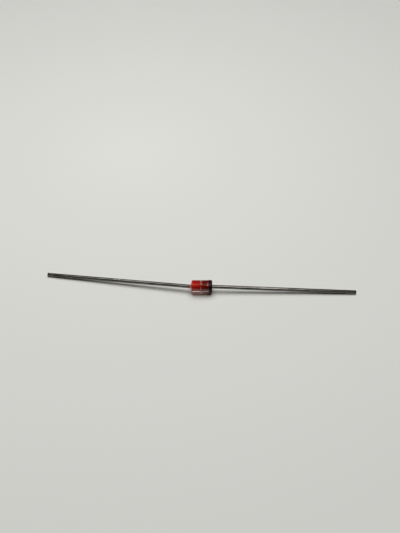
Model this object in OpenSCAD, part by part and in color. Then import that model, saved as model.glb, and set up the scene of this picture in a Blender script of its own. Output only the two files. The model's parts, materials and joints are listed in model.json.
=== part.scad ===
// Zener diode in a clear glass sleeve with two wire leads, lying as it comes to rest on a flat surface.
// The body's axis runs along X, anode to cathode.
// The origin is on that surface, under the middle of the footprint.

/* [Glass sleeve] */
// Outside diameter of the glass
sleeve_d = 2.5; // [2.3:0.05:2.7]
// Length of the glass from end to end
sleeve_l = 3.95; // [3.6:0.05:5.2]
// Rounding of the melted edge at the anode end
anode_round = 0.3; // [0.1:0.02:0.44]
// Rounding of the melted edge at the cathode end
cathode_round = 0.28; // [0.1:0.02:0.44]

/* [Plugs] */
// Diameter of the plugs that the glass is sealed onto
plug_d = 1.3; // [1.24:0.02:1.6]
// Length of each plug
plug_l = 1.8; // [1.5:0.02:2.3]
// Rounding of each plug's outer edge
plug_round = 0.06; // [0.04:0.02:0.08]
// How far the anode plug stands out of the glass
anode_proud = 0.04; // [0:0.01:0.4]
// How far the plugs and chip lie above the middle of the glass, whose wall melted unevenly
core_up = 0.07; // [0:0.01:0.08]
// How far the plugs and chip lie behind the middle of the glass
core_back = 0.12; // [0:0.01:0.13]

/* [Chip] */
// Side of the square chip
chip_w = 0.88; // [0.5:0.02:0.88]
// Thickness of the chip
chip_t = 0.14; // [0.1:0.02:0.3]
// Diameter of the contact bump on the chip's anode face
bump_d = 0.5; // [0.2:0.02:0.7]
// Height of the contact bump
bump_h = 0.04; // [0.02:0.01:0.12]

/* [Cathode band] */
// Width of the band along the glass
band_w = 0.7; // [0.5:0.05:1.2]
// Thickness of the band's paint
band_t = 0.03; // [0.01:0.01:0.06]

/* [Leads] */
// Diameter of the lead wire
lead_d = 0.72; // [0.5:0.02:0.8]
// Length of the anode lead from its plug to its tip
anode_lead_l = 28.5; // [12:0.1:40]
// Length of the cathode lead from its plug to its tip
cathode_lead_l = 27.9; // [12:0.1:40]
// Sideways bend of the anode lead in degrees, towards +Y
anode_bend = 7.9; // [-12:0.1:12]
// Sideways bend of the cathode lead in degrees, towards +Y
cathode_bend = -1; // [-12:0.1:12]

/* [Welds] */
// Height of each weld on its plug, up to where the wire comes out of it
weld_h = 0.26; // [0.16:0.02:0.36]
// Bare rim round each weld on the flat of the plug's end
weld_rim = 0.03; // [0.02:0.01:0.06]

/* [Hidden] */
$fn = 96;
sleeve_r = sleeve_d / 2;
plug_r = plug_d / 2;
lead_r = lead_d / 2;
skin_r = sleeve_r + band_t;

// The plugs, chip and bump are stacked along one line, and the body's middle is midway between the plugs
gap = chip_t + bump_h;
stack_l = 2 * plug_l + gap;
sleeve_start = anode_proud - stack_l / 2;

// A weld is the cap of a ball that passes through its own foot and through the wire's surface.
// It lies on the middle of the glass with the wire, and its foot stays on the flat of the plug's end
weld_r = plug_r - plug_round - weld_rim - norm([core_up, core_back]);
weld_root = 0.02;
weld_sink = (weld_r * weld_r - lead_r * lead_r - weld_h * weld_h) / (2 * weld_h);
weld_ball_r = norm([weld_r, weld_sink]);

// The wire is drawn from halfway up the weld, so that its slanted root lies inside the weld's ball
lead_root = weld_h / 2;

// The body lies on its band, and each lead droops until the rim of its tip touches the same surface
function droop(l) = asin(skin_r / norm([l, lead_r])) - atan2(lead_r, l);
function lead_dir(side, l, bend) =
    [side * cos(bend) * cos(droop(l)), sin(bend) * cos(droop(l)), -sin(droop(l))];
function tip_rim(dir, axis) = lead_r * sqrt(1 - dir[axis] * dir[axis]);

anode_dir = lead_dir(-1, anode_lead_l, anode_bend);
cathode_dir = lead_dir(1, cathode_lead_l, cathode_bend);
anode_tip = anode_dir * anode_lead_l - [stack_l / 2, 0, 0];
cathode_tip = cathode_dir * cathode_lead_l + [stack_l / 2, 0, 0];

// Corners of the footprint, measured from under the body's middle
foot_low = [
    anode_tip.x - tip_rim(anode_dir, 0),
    min(-skin_r, anode_tip.y - tip_rim(anode_dir, 1), cathode_tip.y - tip_rim(cathode_dir, 1))
];
foot_high = [
    cathode_tip.x + tip_rim(cathode_dir, 0),
    max(skin_r, anode_tip.y + tip_rim(anode_dir, 1), cathode_tip.y + tip_rim(cathode_dir, 1))
];
foot_mid = (foot_low + foot_high) / 2;
body_mid = [-foot_mid.x, -foot_mid.y, skin_r];

// Turns a shape that stands on Z to point outwards along the axis, side -1 to the anode and 1 to the cathode
module outward(side, distance) {
    translate(body_mid + [side * distance, 0, 0])
        rotate([0, side * 90, 0])
            children();
}

// Moves what is sealed in the glass off the middle of the glass
module off_middle() {
    translate([0, core_back, core_up]) children();
}

// Half section of a round bar that stands on its axis and has one rounded edge, at its top
module bar_half(r, l, edge_r) {
    square([r, l - edge_r]);
    square([r - edge_r, l]);
    translate([r - edge_r, l - edge_r]) circle(r = edge_r);
}

module sleeve_half() {
    intersection() {
        bar_half(sleeve_r, sleeve_l, cathode_round);
        translate([0, sleeve_l]) mirror([0, 1]) bar_half(sleeve_r, sleeve_l, anode_round);
    }
}

// The paint follows the glass round its edge, and stops where the flat end begins
module band_half() {
    intersection() {
        translate([sleeve_r - cathode_round, sleeve_l - band_w])
            square([cathode_round + band_t, band_w + band_t]);
        difference() {
            bar_half(skin_r, sleeve_l + band_t, cathode_round + band_t);
            bar_half(sleeve_r, sleeve_l, cathode_round);
        }
    }
}

module weld_half() {
    intersection() {
        translate([0, -weld_sink]) circle(r = weld_ball_r);
        translate([0, -weld_root]) square(2 * weld_ball_r);
    }
}

// A plug carries its weld on its outer end
module plug(side) {
    off_middle() outward(side, gap / 2) rotate_extrude() bar_half(plug_r, plug_l, plug_round);
    outward(side, stack_l / 2) rotate_extrude() weld_half();
}

// A straight wire, bent where it leaves the plug and hollowed at its root to sit on the weld
module lead(side, l, bend) {
    heading = side > 0 ? bend : 180 - bend;
    difference() {
        translate(body_mid + [side * stack_l / 2, 0, 0])
            rotate([0, 90 + droop(l), heading])
                translate([0, 0, lead_root]) cylinder(r = lead_r, h = l - lead_root);
        outward(side, stack_l / 2 - weld_sink) sphere(r = weld_ball_r);
    }
}

module glass_sleeve() {
    color("LightCyan", 0.35)
        difference() {
            outward(1, sleeve_start) rotate_extrude() sleeve_half();
            off_middle() outward(1, sleeve_start - 1) cylinder(r = plug_r, h = sleeve_l + 2);
        }
}

module cathode_band() {
    color([0.07, 0.07, 0.08]) outward(1, sleeve_start) rotate_extrude() band_half();
}

module anode_plug() {
    color("FireBrick") plug(-1);
}

module cathode_plug() {
    color("FireBrick") plug(1);
}

module silicon_chip() {
    color("DimGray")
        off_middle() outward(1, gap / 2 - chip_t)
            translate([-chip_w / 2, -chip_w / 2, 0]) cube([chip_w, chip_w, chip_t]);
}

module contact_bump() {
    color("Silver") off_middle() outward(-1, gap / 2 - bump_h) cylinder(d = bump_d, h = bump_h);
}

module anode_lead() {
    color("Gray") lead(-1, anode_lead_l, anode_bend);
}

module cathode_lead() {
    color("Gray") lead(1, cathode_lead_l, cathode_bend);
}

glass_sleeve();
cathode_band();
anode_plug();
cathode_plug();
silicon_chip();
contact_bump();
anode_lead();
cathode_lead();
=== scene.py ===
import json
import math
import bpy
import bmesh
from mathutils import Matrix, Vector, noise


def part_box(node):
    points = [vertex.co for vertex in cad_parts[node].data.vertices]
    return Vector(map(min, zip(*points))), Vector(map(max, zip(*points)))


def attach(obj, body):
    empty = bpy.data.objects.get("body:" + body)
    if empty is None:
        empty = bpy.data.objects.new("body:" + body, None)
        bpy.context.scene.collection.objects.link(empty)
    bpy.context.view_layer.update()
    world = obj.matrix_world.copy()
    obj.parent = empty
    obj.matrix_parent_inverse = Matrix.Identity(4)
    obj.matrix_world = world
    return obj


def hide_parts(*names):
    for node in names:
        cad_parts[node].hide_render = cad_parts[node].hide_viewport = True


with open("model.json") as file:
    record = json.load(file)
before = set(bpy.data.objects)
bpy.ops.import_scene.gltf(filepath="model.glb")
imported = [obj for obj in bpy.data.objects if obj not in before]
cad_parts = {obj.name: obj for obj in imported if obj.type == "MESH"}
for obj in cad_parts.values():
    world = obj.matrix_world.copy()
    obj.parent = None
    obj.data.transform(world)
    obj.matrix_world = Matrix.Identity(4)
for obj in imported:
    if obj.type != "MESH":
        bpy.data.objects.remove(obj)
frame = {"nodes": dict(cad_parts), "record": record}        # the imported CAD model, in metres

mm = 0.001
scene = bpy.context.scene
scene.view_settings.view_transform = "Standard"
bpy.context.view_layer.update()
print("stage 1: frame loaded,", len(frame["nodes"]), "CAD nodes")

# places that the frame gives
glassLow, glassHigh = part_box("glass_sleeve")
anodeLow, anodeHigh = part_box("anode_plug")
cathodeLow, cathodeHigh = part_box("cathode_plug")
chipLow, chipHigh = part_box("silicon_chip")
bumpLow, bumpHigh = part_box("contact_bump")
bandLow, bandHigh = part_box("cathode_band")
pins = {mount["name"]: mount for mount in frame["record"]["mounts"]}

axisY = (glassLow.y + glassHigh.y) / 2
axisZ = (glassLow.z + glassHigh.z) / 2
bodyX = (anodeHigh.x + cathodeLow.x) / 2        # middle of the chip's gap
bodyMiddle = Vector((bodyX, axisY, axisZ))
plugR = (anodeHigh.z - anodeLow.z) / 2
coreOff = Vector((0, (anodeLow.y + anodeHigh.y) / 2 - axisY, (anodeLow.z + anodeHigh.z) / 2 - axisZ))


# a point of a half section: along the body's axis, and out from it
def sectionPoint(along, radius):
    return Vector((along, axisY, axisZ + radius))


# draws a half section and gives back its corner vertices
def drawSection(bm, points, closed):
    corners = [bm.verts.new(sectionPoint(*point)) for point in points]
    for start, end in zip(corners, corners[1:]):
        bm.edges.new((start, end))
    if closed:
        bm.edges.new((corners[-1], corners[0]))
    return corners


def roundCorner(bm, corner, size, steps):
    bmesh.ops.bevel(bm, geom=[corner], offset=size, offset_type="OFFSET", segments=steps,
                    profile=0.5, affect="VERTICES", material=-1)


# turns the section into a closed skin about the body's axis
def turnSection(bm, steps):
    bmesh.ops.spin(bm, geom=bm.verts[:] + bm.edges[:], cent=bodyMiddle, axis=(1, 0, 0),
                   angle=math.tau, steps=steps, use_merge=True)
    bmesh.ops.remove_doubles(bm, verts=bm.verts[:], dist=1e-7)
    bmesh.ops.recalc_face_normals(bm, faces=bm.faces[:])


# moves each vertex out from the axis or in, by a smooth noise
def unevenSkin(bm, scale, depth, seed):
    for vert in bm.verts:
        out = Vector((0, vert.co.y - axisY, vert.co.z - axisZ))
        if out.length > 1e-6:
            vert.co += out.normalized() * noise.noise(vert.co / scale + Vector((seed, 0, 0))) * depth


# moves what is sealed in the glass off the glass's axis, as far as the share of each vertex says
def moveCore(bm, share):
    for vert in bm.verts:
        reach = math.hypot(vert.co.y - axisY, vert.co.z - axisZ)
        vert.co += coreOff * min(1, max(0, share(vert.co.x, reach)))


def finishPiece(bm, name, node, finish, sharpAngle=40):
    mesh = bpy.data.meshes.new(name)
    bm.to_mesh(mesh)
    bm.free()
    mesh.shade_smooth()
    mesh.set_sharp_from_angle(angle=math.radians(sharpAngle))
    mesh.materials.append(finish)
    piece = bpy.data.objects.new(name, mesh)
    scene.collection.objects.link(piece)
    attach(piece, "root")
    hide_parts(node)


def link(material, start, end):
    material.node_tree.links.new(start, end)


# a new material with its shader, and Object coordinates centred and turned by a Mapping node
def newFinish(name, centre, turn=(0, 0, 0)):
    material = bpy.data.materials.new(name)
    material.use_nodes = True
    nodes = material.node_tree.nodes
    place = nodes.new("ShaderNodeMapping")
    place.vector_type = "TEXTURE"
    place.inputs["Location"].default_value = centre
    place.inputs["Rotation"].default_value = turn
    coords = nodes.new("ShaderNodeTexCoord").outputs["Object"]
    link(material, coords, place.inputs["Vector"])
    return material, nodes["Principled BSDF"], place.outputs["Vector"]


# stretches a pattern, so that its grain runs one way
def stretch(material, vector, scale):
    node = material.node_tree.nodes.new("ShaderNodeVectorMath")
    node.operation = "MULTIPLY"
    node.inputs[1].default_value = scale
    link(material, vector, node.inputs[0])
    return node.outputs["Vector"]


# scale is in waves to the metre
def noiseMap(material, vector, scale, detail=4):
    node = material.node_tree.nodes.new("ShaderNodeTexNoise")
    node.inputs["Scale"].default_value = scale
    node.inputs["Detail"].default_value = detail
    node.inputs["Roughness"].default_value = 0.55        # how strong the finer waves are
    link(material, vector, node.inputs["Vector"])
    return node.outputs["Fac"]


# fades from one value to another between two limits
def mapRange(material, value, low, high, newLow, newHigh):
    node = material.node_tree.nodes.new("ShaderNodeMapRange")
    node.interpolation_type = "SMOOTHSTEP"
    node.inputs["From Min"].default_value = low
    node.inputs["From Max"].default_value = high
    node.inputs["To Min"].default_value = newLow
    node.inputs["To Max"].default_value = newHigh
    link(material, value, node.inputs["Value"])
    return node.outputs["Result"]


# multiplies or adds two node outputs, and keeps the result between 0 and 1
def combine(material, operation, first, second):
    node = material.node_tree.nodes.new("ShaderNodeMath")
    node.operation = operation
    node.use_clamp = True
    link(material, first, node.inputs[0])
    link(material, second, node.inputs[1])
    return node.outputs["Value"]


def times(material, first, second):
    return combine(material, "MULTIPLY", first, second)


def add(material, first, second):
    return combine(material, "ADD", first, second)


# mixes two colours, each a plain colour or another node's output
def mixColour(material, share, first, second):
    node = material.node_tree.nodes.new("ShaderNodeMix")
    node.data_type = "RGBA"
    link(material, share, node.inputs["Factor"])
    for socket, colour in ((node.inputs["A"], first), (node.inputs["B"], second)):
        if isinstance(colour, tuple):
            socket.default_value = (*colour, 1)
        else:
            link(material, colour, socket)
    return node.outputs["Result"]


def bump(material, shader, height, depth):
    node = material.node_tree.nodes.new("ShaderNodeBump")
    node.inputs["Strength"].default_value = 1
    node.inputs["Distance"].default_value = depth
    link(material, height, node.inputs["Height"])
    link(material, node.outputs["Normal"], shader.inputs["Normal"])


# clear glass, fire polished, with a slow waviness, a brown tint with painted shade that darkens it towards
# the band, and a painted dark shade on its underside below the chip's gap
glassLook = {"ior": 1.66, "anodeTint": (0.97, 0.67, 0.59), "cathodeShadedTint": (0.42, 0.26, 0.22),
             "bandShadeFrom": -0.3 * mm, "bandShadeTo": 0.5 * mm,
             "gapShade": (0.08, 0.045, 0.03), "gapShadeInner": 0.08 * mm, "gapShadeOuter": 0.2 * mm,
             "gapShadeFull": -0.85 * mm, "gapShadeTop": -0.65 * mm,
             "smudgeScale": 2600, "smudgeRough": 0.05, "waveScale": 900, "waveDepth": 0.006 * mm}


def glassFinish():
    material, shader, place = newFinish("clearGlass", bodyMiddle)
    shader.inputs["Transmission Weight"].default_value = 1
    shader.inputs["IOR"].default_value = glassLook["ior"]
    parts = material.node_tree.nodes.new("ShaderNodeSeparateXYZ")
    link(material, place, parts.inputs["Vector"])
    # painted shade: the tint darkens from the anode half to the cathode half, towards the band
    bandShade = mapRange(material, parts.outputs["X"], glassLook["bandShadeFrom"], glassLook["bandShadeTo"], 0, 1)
    tint = mixColour(material, bandShade, glassLook["anodeTint"], glassLook["cathodeShadedTint"])
    # painted shade: a dark brown patch on the glass's underside, below the chip's gap only
    under = mapRange(material, parts.outputs["Z"], glassLook["gapShadeFull"], glassLook["gapShadeTop"], 1, 0)
    before = mapRange(material, parts.outputs["X"], -glassLook["gapShadeOuter"], -glassLook["gapShadeInner"], 0, 1)
    past = mapRange(material, parts.outputs["X"], glassLook["gapShadeInner"], glassLook["gapShadeOuter"], 1, 0)
    gapShade = times(material, under, times(material, before, past))
    tint = mixColour(material, gapShade, tint, glassLook["gapShade"])
    link(material, tint, shader.inputs["Base Color"])
    smudge = noiseMap(material, place, glassLook["smudgeScale"])
    rough = mapRange(material, smudge, 0.45, 0.75, 0, glassLook["smudgeRough"])
    link(material, rough, shader.inputs["Roughness"])
    wave = noiseMap(material, place, glassLook["waveScale"], detail=1)
    bump(material, shader, wave, glassLook["waveDepth"])
    return material


# red copper oxide on the plugs, bare reddish metal at the welds
plugLook = {"anodeDeep": (0.42, 0.0015, 0.0008), "anodeBright": (0.75, 0.024, 0.006),
            "cathodeDeep": (0.3, 0.0012, 0.0008), "cathodeBright": (0.68, 0.02, 0.005),
            "weld": (0.55, 0.21, 0.17), "weldFade": 0.1 * mm, "metal": 0.03, "ior": 1.2,
            "patchScale": 1500, "grainScale": 14000, "rough": (0.4, 0.55), "grainDepth": 0.002 * mm}


def plugFinish(name, deep, bright, weldStart):
    material, shader, place = newFinish(name, bodyMiddle)
    patches = noiseMap(material, place, plugLook["patchScale"], detail=5)
    grain = noiseMap(material, stretch(material, place, (0.15, 1, 1)), plugLook["grainScale"], detail=3)
    red = mixColour(material, mapRange(material, patches, 0.35, 0.7, 0, 1), deep, bright)
    parts = material.node_tree.nodes.new("ShaderNodeSeparateXYZ")
    link(material, place, parts.inputs["Vector"])
    reach = material.node_tree.nodes.new("ShaderNodeMath")
    reach.operation = "ABSOLUTE"
    link(material, parts.outputs["X"], reach.inputs[0])
    fade = plugLook["weldFade"]
    bare = mapRange(material, reach.outputs["Value"], weldStart - fade, weldStart + fade, 0, 1)
    link(material, mixColour(material, bare, red, plugLook["weld"]), shader.inputs["Base Color"])
    link(material, mapRange(material, bare, 0, 1, plugLook["metal"], 1), shader.inputs["Metallic"])
    shader.inputs["IOR"].default_value = plugLook["ior"]
    link(material, mapRange(material, grain, 0.3, 0.75, *plugLook["rough"]), shader.inputs["Roughness"])
    bump(material, shader, grain, plugLook["grainDepth"])
    return material


# black paint of the band, a thin uneven coat
paintLook = {"dark": (0.012, 0.0008, 0.001), "worn": (0.03, 0.003, 0.004), "gloss": 0.2,
             "brushScale": 9000, "rough": (0.14, 0.36), "brushDepth": 0.004 * mm}


def paintFinish():
    material, shader, place = newFinish("bandPaint", bodyMiddle)
    brush = noiseMap(material, stretch(material, place, (1, 0.3, 0.3)), paintLook["brushScale"])
    share = mapRange(material, brush, 0.4, 0.7, 0, 1)
    black = mixColour(material, share, paintLook["dark"], paintLook["worn"])
    link(material, black, shader.inputs["Base Color"])
    shader.inputs["Specular IOR Level"].default_value = paintLook["gloss"]
    link(material, mapRange(material, brush, 0.3, 0.8, *paintLook["rough"]), shader.inputs["Roughness"])
    bump(material, shader, brush, paintLook["brushDepth"])
    return material


# sawn silicon, with the red light of the plugs beside it painted into its colour
siliconLook = {"dark": (0.3, 0.06, 0.04), "pale": (0.6, 0.2, 0.13), "metal": 0.5,
               "sawScale": 12000, "rough": (0.2, 0.5), "sawDepth": 0.003 * mm}


def siliconFinish():
    material, shader, place = newFinish("sawnSilicon", bodyMiddle)
    saw = noiseMap(material, stretch(material, place, (3, 1, 0.1)), siliconLook["sawScale"], detail=3)
    share = mapRange(material, saw, 0.3, 0.7, 0, 1)
    # painted red light from the plugs: both colours of the saw marks are reddened
    sawn = mixColour(material, share, siliconLook["dark"], siliconLook["pale"])
    link(material, sawn, shader.inputs["Base Color"])
    shader.inputs["Metallic"].default_value = siliconLook["metal"]
    link(material, mapRange(material, saw, 0.3, 0.7, *siliconLook["rough"]), shader.inputs["Roughness"])
    bump(material, shader, saw, siliconLook["sawDepth"])
    return material


# plated contact metal on the chip
contactLook = {"bright": (0.72, 0.7, 0.66), "dull": (0.4, 0.37, 0.34),
               "pitScale": 16000, "rough": (0.25, 0.5), "pitDepth": 0.004 * mm}


def contactFinish():
    material, shader, place = newFinish("contactMetal", bodyMiddle)
    pits = noiseMap(material, place, contactLook["pitScale"], detail=3)
    share = mapRange(material, pits, 0.35, 0.65, 0, 1)
    plated = mixColour(material, share, contactLook["dull"], contactLook["bright"])
    link(material, plated, shader.inputs["Base Color"])
    shader.inputs["Metallic"].default_value = 1
    link(material, mapRange(material, pits, 0.3, 0.7, *contactLook["rough"]), shader.inputs["Roughness"])
    bump(material, shader, pits, contactLook["pitDepth"])
    return material


# tinned wire: drawing streaks along it, dull patches and a few bright scratches
wireLook = {"dull": (0.09, 0.084, 0.076), "tin": (0.22, 0.211, 0.197), "bright": (0.6, 0.585, 0.56),
            "streakScale": 7000, "patchScale": 1300, "patchShare": 0.75, "scratchScale": 5200,
            "rough": (0.2, 0.1), "streakDepth": 0.006 * mm}


def wireFinish(name, root, direction):
    turn = direction.to_track_quat("X", "Z").to_euler()
    material, shader, place = newFinish(name, root, turn)
    streaks = noiseMap(material, stretch(material, place, (0.05, 1, 1)), wireLook["streakScale"])
    patches = noiseMap(material, stretch(material, place, (0.35, 1, 1)), wireLook["patchScale"], detail=5)
    scratches = noiseMap(material, stretch(material, place, (0.25, 1, 1)), wireLook["scratchScale"], detail=2)
    tin = mixColour(material, mapRange(material, streaks, 0.3, 0.7, 0, 1), wireLook["dull"], wireLook["tin"])
    dulled = mapRange(material, patches, 0.42, 0.7, 0, wireLook["patchShare"])
    patched = mixColour(material, dulled, tin, wireLook["dull"])
    bare = mapRange(material, scratches, 0.68, 0.74, 0, 1)
    link(material, mixColour(material, bare, patched, wireLook["bright"]), shader.inputs["Base Color"])
    shader.inputs["Metallic"].default_value = 1
    link(material, mapRange(material, streaks, 0.25, 0.75, *wireLook["rough"]), shader.inputs["Roughness"])
    bump(material, shader, streaks, wireLook["streakDepth"])
    return material


# glass sleeve: melted round edges, a fillet of glass that creeps up the anode plug,
# and a ring of air that is left in the glass round the chip
sleeve = {"bite": 0.01 * mm, "anodeRound": 0.3 * mm, "cathodeRound": 0.28 * mm,
          "creep": 0.07 * mm, "creepFoot": 0.2 * mm, "ringWide": 0.06 * mm, "ringTop": 0.6,
          "ringDeep": 0.05 * mm, "blend": 0.7, "easing": 0.3 * mm, "turns": 128}


def makeSleeve():
    bm = bmesh.new()
    glassR = (glassHigh.z - glassLow.z) / 2
    bore = plugR - sleeve["bite"]        # the glass is fused to the plugs, with no air between
    ring = bore + sleeve["ringDeep"]
    corners = drawSection(bm, [
        (glassLow.x - sleeve["creep"], bore),
        (glassLow.x, bore + sleeve["creepFoot"]),
        (glassLow.x, glassR),
        (glassHigh.x, glassR),
        (glassHigh.x, bore),
        (cathodeLow.x + sleeve["ringWide"], bore),
        (cathodeLow.x + sleeve["ringWide"] * sleeve["ringTop"], ring),
        (anodeHigh.x - sleeve["ringWide"] * sleeve["ringTop"], ring),
        (anodeHigh.x - sleeve["ringWide"], bore),
    ], True)
    roundCorner(bm, corners[1], sleeve["creepFoot"] * sleeve["blend"], 6)
    roundCorner(bm, corners[2], sleeve["anodeRound"], 14)
    roundCorner(bm, corners[3], sleeve["cathodeRound"], 14)
    for corner in corners[6:8]:
        roundCorner(bm, corner, sleeve["ringDeep"] * sleeve["blend"], 6)
    turnSection(bm, sleeve["turns"])
    moveCore(bm, lambda along, reach: 1 - (reach - bore) / sleeve["easing"])
    finishPiece(bm, "glassSleeve", "glass_sleeve", glassFinish())


# cathode band: a paint film that follows the round end of the glass
band = {"sink": 0.006 * mm, "edge": 0.024 * mm, "turns": 128,
        "brushed": 0.1 * mm, "wobble": 0.03 * mm, "waves": 1.6, "inward": 0.4}


def makeBand():
    bm = bmesh.new()
    glassR = (glassHigh.z - glassLow.z) / 2
    bandR = (bandHigh.z - bandLow.z) / 2
    film = bandR - glassR
    inner = glassR - band["sink"]
    flat = glassR - sleeve["cathodeRound"]        # where the flat end of the glass begins
    corners = drawSection(bm, [
        (bandLow.x, inner),
        (bandLow.x, bandR),
        (bandHigh.x, bandR),
        (bandHigh.x, flat),
        (glassHigh.x - band["sink"], flat),
        (glassHigh.x - band["sink"], inner),
    ], True)
    roundCorner(bm, corners[1], band["edge"], 4)
    roundCorner(bm, corners[3], band["edge"], 4)
    roundCorner(bm, corners[2], sleeve["cathodeRound"] + film, 14)
    roundCorner(bm, corners[5], sleeve["cathodeRound"] - band["sink"], 14)
    turnSection(bm, band["turns"])
    # the brushed edge of the paint wanders a little round the glass
    for vert in bm.verts:
        if vert.co.x < bandLow.x + band["brushed"]:
            around = math.atan2(vert.co.y - axisY, vert.co.z - axisZ)
            waver = noise.noise(Vector((math.cos(around), math.sin(around), 3)) * band["waves"])
            vert.co.x += (waver + band["inward"]) * band["wobble"]
    finishPiece(bm, "cathodeBand", "cathode_band", paintFinish())


# plugs with the weld bead that holds the wire
plug = {"edgeRound": 0.06 * mm, "innerRound": 0.03 * mm, "weldHeight": 0.4611 * mm,
        "weldFoot": 0.421 * mm, "weldBulge": (0.55, 0.95), "weldRound": 0.4, "wireOut": 0.26 * mm,
        "wireRadius": 0.36 * mm, "turns": 96, "uneven": 0.01 * mm, "unevenScale": 0.5 * mm}


def makePlug(name, node, side, low, high, finish):
    bm = bmesh.new()
    weldFoot = plug["weldFoot"]
    bulgeUp, bulgeOut = plug["weldBulge"]        # shares of the wire's height and of the weld's foot
    inner = high.x if side < 0 else low.x
    top = low.x if side < 0 else high.x
    end = top - side * plug["weldHeight"]
    corners = drawSection(bm, [
        (inner, 0),
        (inner, plugR),
        (end, plugR),
        (end, weldFoot),
        (end + side * plug["wireOut"] * bulgeUp, weldFoot * bulgeOut),
        (end + side * plug["wireOut"], plug["wireRadius"]),
        (top, 0),
    ], False)
    roundCorner(bm, corners[1], plug["innerRound"], 3)
    roundCorner(bm, corners[2], plug["edgeRound"], 8)
    roundCorner(bm, corners[4], plug["wireOut"] * plug["weldRound"], 6)
    turnSection(bm, plug["turns"])
    unevenSkin(bm, plug["unevenScale"], plug["uneven"], side * 7)
    # the weld stays on the glass's axis with the wire
    clear = weldFoot + plug["innerRound"]
    moveCore(bm, lambda along, reach: 1 if reach > clear or side * (end - along) > 1e-6 else 0)
    finishPiece(bm, name, node, finish)


# silicon chip: sawn edges and a metal pad standing on its anode face
chip = {"edge": 0.02 * mm, "padInset": 0.1 * mm, "padDepth": 0.012 * mm}


def makeChip():
    bm = bmesh.new()
    size = chipHigh - chipLow
    place = Matrix.Translation((chipLow + chipHigh) / 2) @ Matrix.Diagonal((*size, 1))
    bmesh.ops.create_cube(bm, size=1, matrix=place)
    bmesh.ops.bevel(bm, geom=bm.edges[:], offset=chip["edge"], offset_type="OFFSET", segments=2,
                    profile=0.5, affect="EDGES", material=-1)
    face = min(bm.faces, key=lambda f: f.calc_center_median().x)
    bmesh.ops.inset_region(bm, faces=[face], thickness=chip["padInset"], depth=0)
    bmesh.ops.inset_region(bm, faces=[face], thickness=chip["edge"], depth=-chip["padDepth"])
    finishPiece(bm, "siliconChip", "silicon_chip", siliconFinish(), 30)


# contact bump between the anode plug and the chip
contact = {"edge": 0.012 * mm, "turns": 48}


def makeContact():
    bm = bmesh.new()
    bumpR = (bumpHigh.z - bumpLow.z) / 2
    corners = drawSection(bm, [
        (bumpLow.x, 0),
        (bumpLow.x, bumpR),
        (bumpHigh.x, bumpR),
        (bumpHigh.x, 0),
    ], False)
    roundCorner(bm, corners[1], contact["edge"], 4)
    roundCorner(bm, corners[2], contact["edge"], 4)
    turnSection(bm, contact["turns"])
    moveCore(bm, lambda along, reach: 1)
    finishPiece(bm, "contactBump", "contact_bump", contactFinish())


# leads: drawn wire, a little uneven, with a cropped tip
lead = {"sides": 40, "rings": 110, "rootInWeld": 0.13 * mm, "tipPast": 0.1 * mm, "tipRound": 0.045 * mm,
        "uneven": 0.012 * mm, "unevenStretch": 0.6}


def makeLead(name, node, pin, plugEnd, finishName):
    direction = Vector(pin["axis"]).normalized()
    radius = pin["dims"]["r_mm"] * mm
    half = pin["dims"]["length_mm"] * mm / 2
    tip = Vector(pin["pos_m"]) + direction * (half + lead["tipPast"])
    root = Vector((plugEnd, axisY, axisZ)) + direction * lead["rootInWeld"]
    bm = bmesh.new()
    bmesh.ops.create_cone(bm, cap_ends=True, segments=lead["sides"], radius1=radius, radius2=radius,
                          depth=(tip - root).length)
    along = [edge for edge in bm.edges if abs(edge.verts[0].co.z - edge.verts[1].co.z) > mm]
    bmesh.ops.subdivide_edges(bm, edges=along, cuts=lead["rings"], use_grid_fill=False)
    highest = max(vert.co.z for vert in bm.verts)
    rim = [edge for edge in bm.edges if min(vert.co.z for vert in edge.verts) > highest - 1e-6]
    bmesh.ops.bevel(bm, geom=rim, offset=lead["tipRound"], offset_type="OFFSET", segments=4,
                    profile=0.5, affect="EDGES", material=-1)
    for vert in bm.verts:
        out = Vector((vert.co.x, vert.co.y, 0))
        spot = Vector((vert.co.x / mm, vert.co.y / mm, vert.co.z / mm * lead["unevenStretch"]))
        vert.co -= out * (abs(noise.noise(spot)) * lead["uneven"] / radius)
    turn = direction.to_track_quat("Z", "Y").to_matrix().to_4x4()
    bmesh.ops.transform(bm, matrix=Matrix.Translation((tip + root) / 2) @ turn, verts=bm.verts[:])
    bmesh.ops.recalc_face_normals(bm, faces=bm.faces[:])
    finishPiece(bm, name, node, wireFinish(finishName, root, direction))


weldStart = bodyX - anodeLow.x - plug["weldHeight"]
anodeRed = plugFinish("anodeRed", plugLook["anodeDeep"], plugLook["anodeBright"], weldStart)
cathodeRed = plugFinish("cathodeRed", plugLook["cathodeDeep"], plugLook["cathodeBright"], weldStart)
makeSleeve()
makeBand()
makePlug("anodePlug", "anode_plug", -1, anodeLow, anodeHigh, anodeRed)
makePlug("cathodePlug", "cathode_plug", 1, cathodeLow, cathodeHigh, cathodeRed)
makeChip()
makeContact()
makeLead("anodeLead", "anode_lead", pins["anode_pin"], bodyX - weldStart, "anodeWire")
makeLead("cathodeLead", "cathode_lead", pins["cathode_pin"], bodyX + weldStart, "cathodeWire")
print("stage 2: pieces made")

# pale floor, with a painted pool of light: a touch darker away from the middle
floorLook = {"size": 3.0, "middle": (0.75, 0.76, 0.733), "edge": (0.604, 0.612, 0.59),
             "centre": (-0.016, 0.042, 0), "reach": 0.1, "rough": 0.7, "gloss": 0.1}


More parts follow.
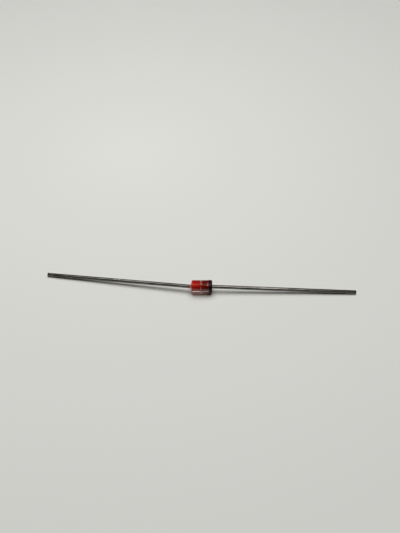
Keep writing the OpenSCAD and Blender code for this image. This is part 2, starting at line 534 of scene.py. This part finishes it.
def makeFloor():
    bm = bmesh.new()
    bmesh.ops.create_grid(bm, x_segments=6, y_segments=6, size=floorLook["size"])
    mesh = bpy.data.meshes.new("floor")
    bm.to_mesh(mesh)
    bm.free()
    material, shader, place = newFinish("paleFloor", floorLook["centre"])
    # painted light: the floor's colour is lighter in the middle and darker towards the edge
    fall = material.node_tree.nodes.new("ShaderNodeTexGradient")
    fall.gradient_type = "SPHERICAL"
    link(material, stretch(material, place, (1 / floorLook["reach"],) * 3), fall.inputs["Vector"])
    pale = mixColour(material, fall.outputs["Fac"], floorLook["edge"], floorLook["middle"])
    link(material, pale, shader.inputs["Base Color"])
    shader.inputs["Roughness"].default_value = floorLook["rough"]
    shader.inputs["Specular IOR Level"].default_value = floorLook["gloss"]
    mesh.materials.append(material)
    floor = bpy.data.objects.new("floor", mesh)
    scene.collection.objects.link(floor)


# soft light: a wide lamp above and behind, a warm glow overhead with a window on each side of it,
# a dim camera side, and pale ends of the room
light = {"tilt": 15, "spread": 58, "strength": 2.88, "room": (0.07, 0.07, 0.07),
         "dimSide": (0.005, 0.005, 0.005), "dimTilt": 50, "dimSize": (0.95, 0.95),
         "glow": (0.58, 0.475, 0.315), "glowTilt": 12, "glowSize": (0.5, 0.3),
         "horizon": (0.6, 0.607, 0.578), "horizonReach": (0.02, 0.13),
         "sides": (0.6, 0.607, 0.578), "sideLean": 90, "sideSize": (0.97, 0.97), "patchEdge": 0.5}
windows = [{"colour": (4.3, 4.26, 4.1), "tilt": 4, "lean": 6.6, "size": (0.085, 0.66)},
           {"colour": (2.3, 2.28, 2.2), "tilt": 4, "lean": -11.8, "size": (0.17, 0.66)}]


# a soft oval patch of the room, straight above before it is tilted to the camera and leant to the side,
# and its twin straight opposite
def worldPatch(world, coords, tilt, lean, size):
    nodes = world.node_tree.nodes
    place = nodes.new("ShaderNodeMapping")
    place.vector_type = "TEXTURE"
    place.inputs["Rotation"].default_value = (math.radians(tilt), math.radians(lean), 0)
    place.inputs["Scale"].default_value = (*size, 1000)        # no fall along its own line
    link(world, coords, place.inputs["Vector"])
    fall = nodes.new("ShaderNodeTexGradient")
    fall.gradient_type = "SPHERICAL"
    link(world, place.outputs["Vector"], fall.inputs["Vector"])
    return mapRange(world, fall.outputs["Fac"], 0, light["patchEdge"], 0, 1)


def makeLight():
    lamp = bpy.data.lights.new("softLamp", "SUN")
    lamp.energy = light["strength"]
    lamp.angle = math.radians(light["spread"])
    lampObject = bpy.data.objects.new("softLamp", lamp)
    lampObject.rotation_euler = (math.radians(-light["tilt"]), 0, 0)
    lampObject.visible_glossy = False
    scene.collection.objects.link(lampObject)
    world = bpy.data.worlds.new("room")
    world.use_nodes = True
    scene.world = world
    coords = world.node_tree.nodes.new("ShaderNodeTexCoord").outputs["Generated"]
    dim = worldPatch(world, coords, light["dimTilt"], 0, light["dimSize"])
    room = mixColour(world, dim, light["room"], light["dimSide"])
    glow = worldPatch(world, coords, light["glowTilt"], 0, light["glowSize"])
    room = mixColour(world, glow, room, light["glow"])
    # what follows is only seen, mirrored and looked through: it adds no light to the floor
    rays = world.node_tree.nodes.new("ShaderNodeLightPath")
    seen = add(world, rays.outputs["Is Camera Ray"], rays.outputs["Is Glossy Ray"])
    seen = add(world, seen, rays.outputs["Is Transmission Ray"])
    for window in windows:
        pane = worldPatch(world, coords, window["tilt"], window["lean"], window["size"])
        room = mixColour(world, times(world, pane, seen), room, window["colour"])
    # the floor's paleness goes on a little above the horizon, and higher at both ends of the body
    parts = world.node_tree.nodes.new("ShaderNodeSeparateXYZ")
    link(world, coords, parts.inputs["Vector"])
    low = mapRange(world, parts.outputs["Z"], *light["horizonReach"], 1, 0)
    sides = worldPatch(world, coords, 0, light["sideLean"], light["sideSize"])
    room = mixColour(world, times(world, sides, seen), room, light["sides"])
    room = mixColour(world, times(world, low, seen), room, light["horizon"])
    link(world, room, world.node_tree.nodes["Background"].inputs["Color"])


# camera at the photograph's angle, aimed at a point of the floor
view = {"elevation": 46, "azimuth": 0.234, "distance": 153.232 * mm, "lens": 52, "sensor": 36,
        "aim": Vector((-0.052, 5.086, 0)) * mm, "near": 0.01, "far": 10}


def makeCamera():
    camera = bpy.data.cameras.new("camera")
    camera.lens = view["lens"]
    camera.sensor_width = view["sensor"]
    camera.clip_start = view["near"]
    camera.clip_end = view["far"]
    up, around = math.radians(view["elevation"]), math.radians(view["azimuth"])
    back = Vector((math.sin(around) * math.cos(up), -math.cos(around) * math.cos(up), math.sin(up)))
    cameraObject = bpy.data.objects.new("camera", camera)
    cameraObject.location = view["aim"] + back * view["distance"]
    cameraObject.rotation_euler = (-back).to_track_quat("-Z", "Y").to_euler()
    scene.collection.objects.link(cameraObject)
    scene.camera = cameraObject


makeFloor()
makeLight()
makeCamera()
print("stage 3: floor, light and camera made")
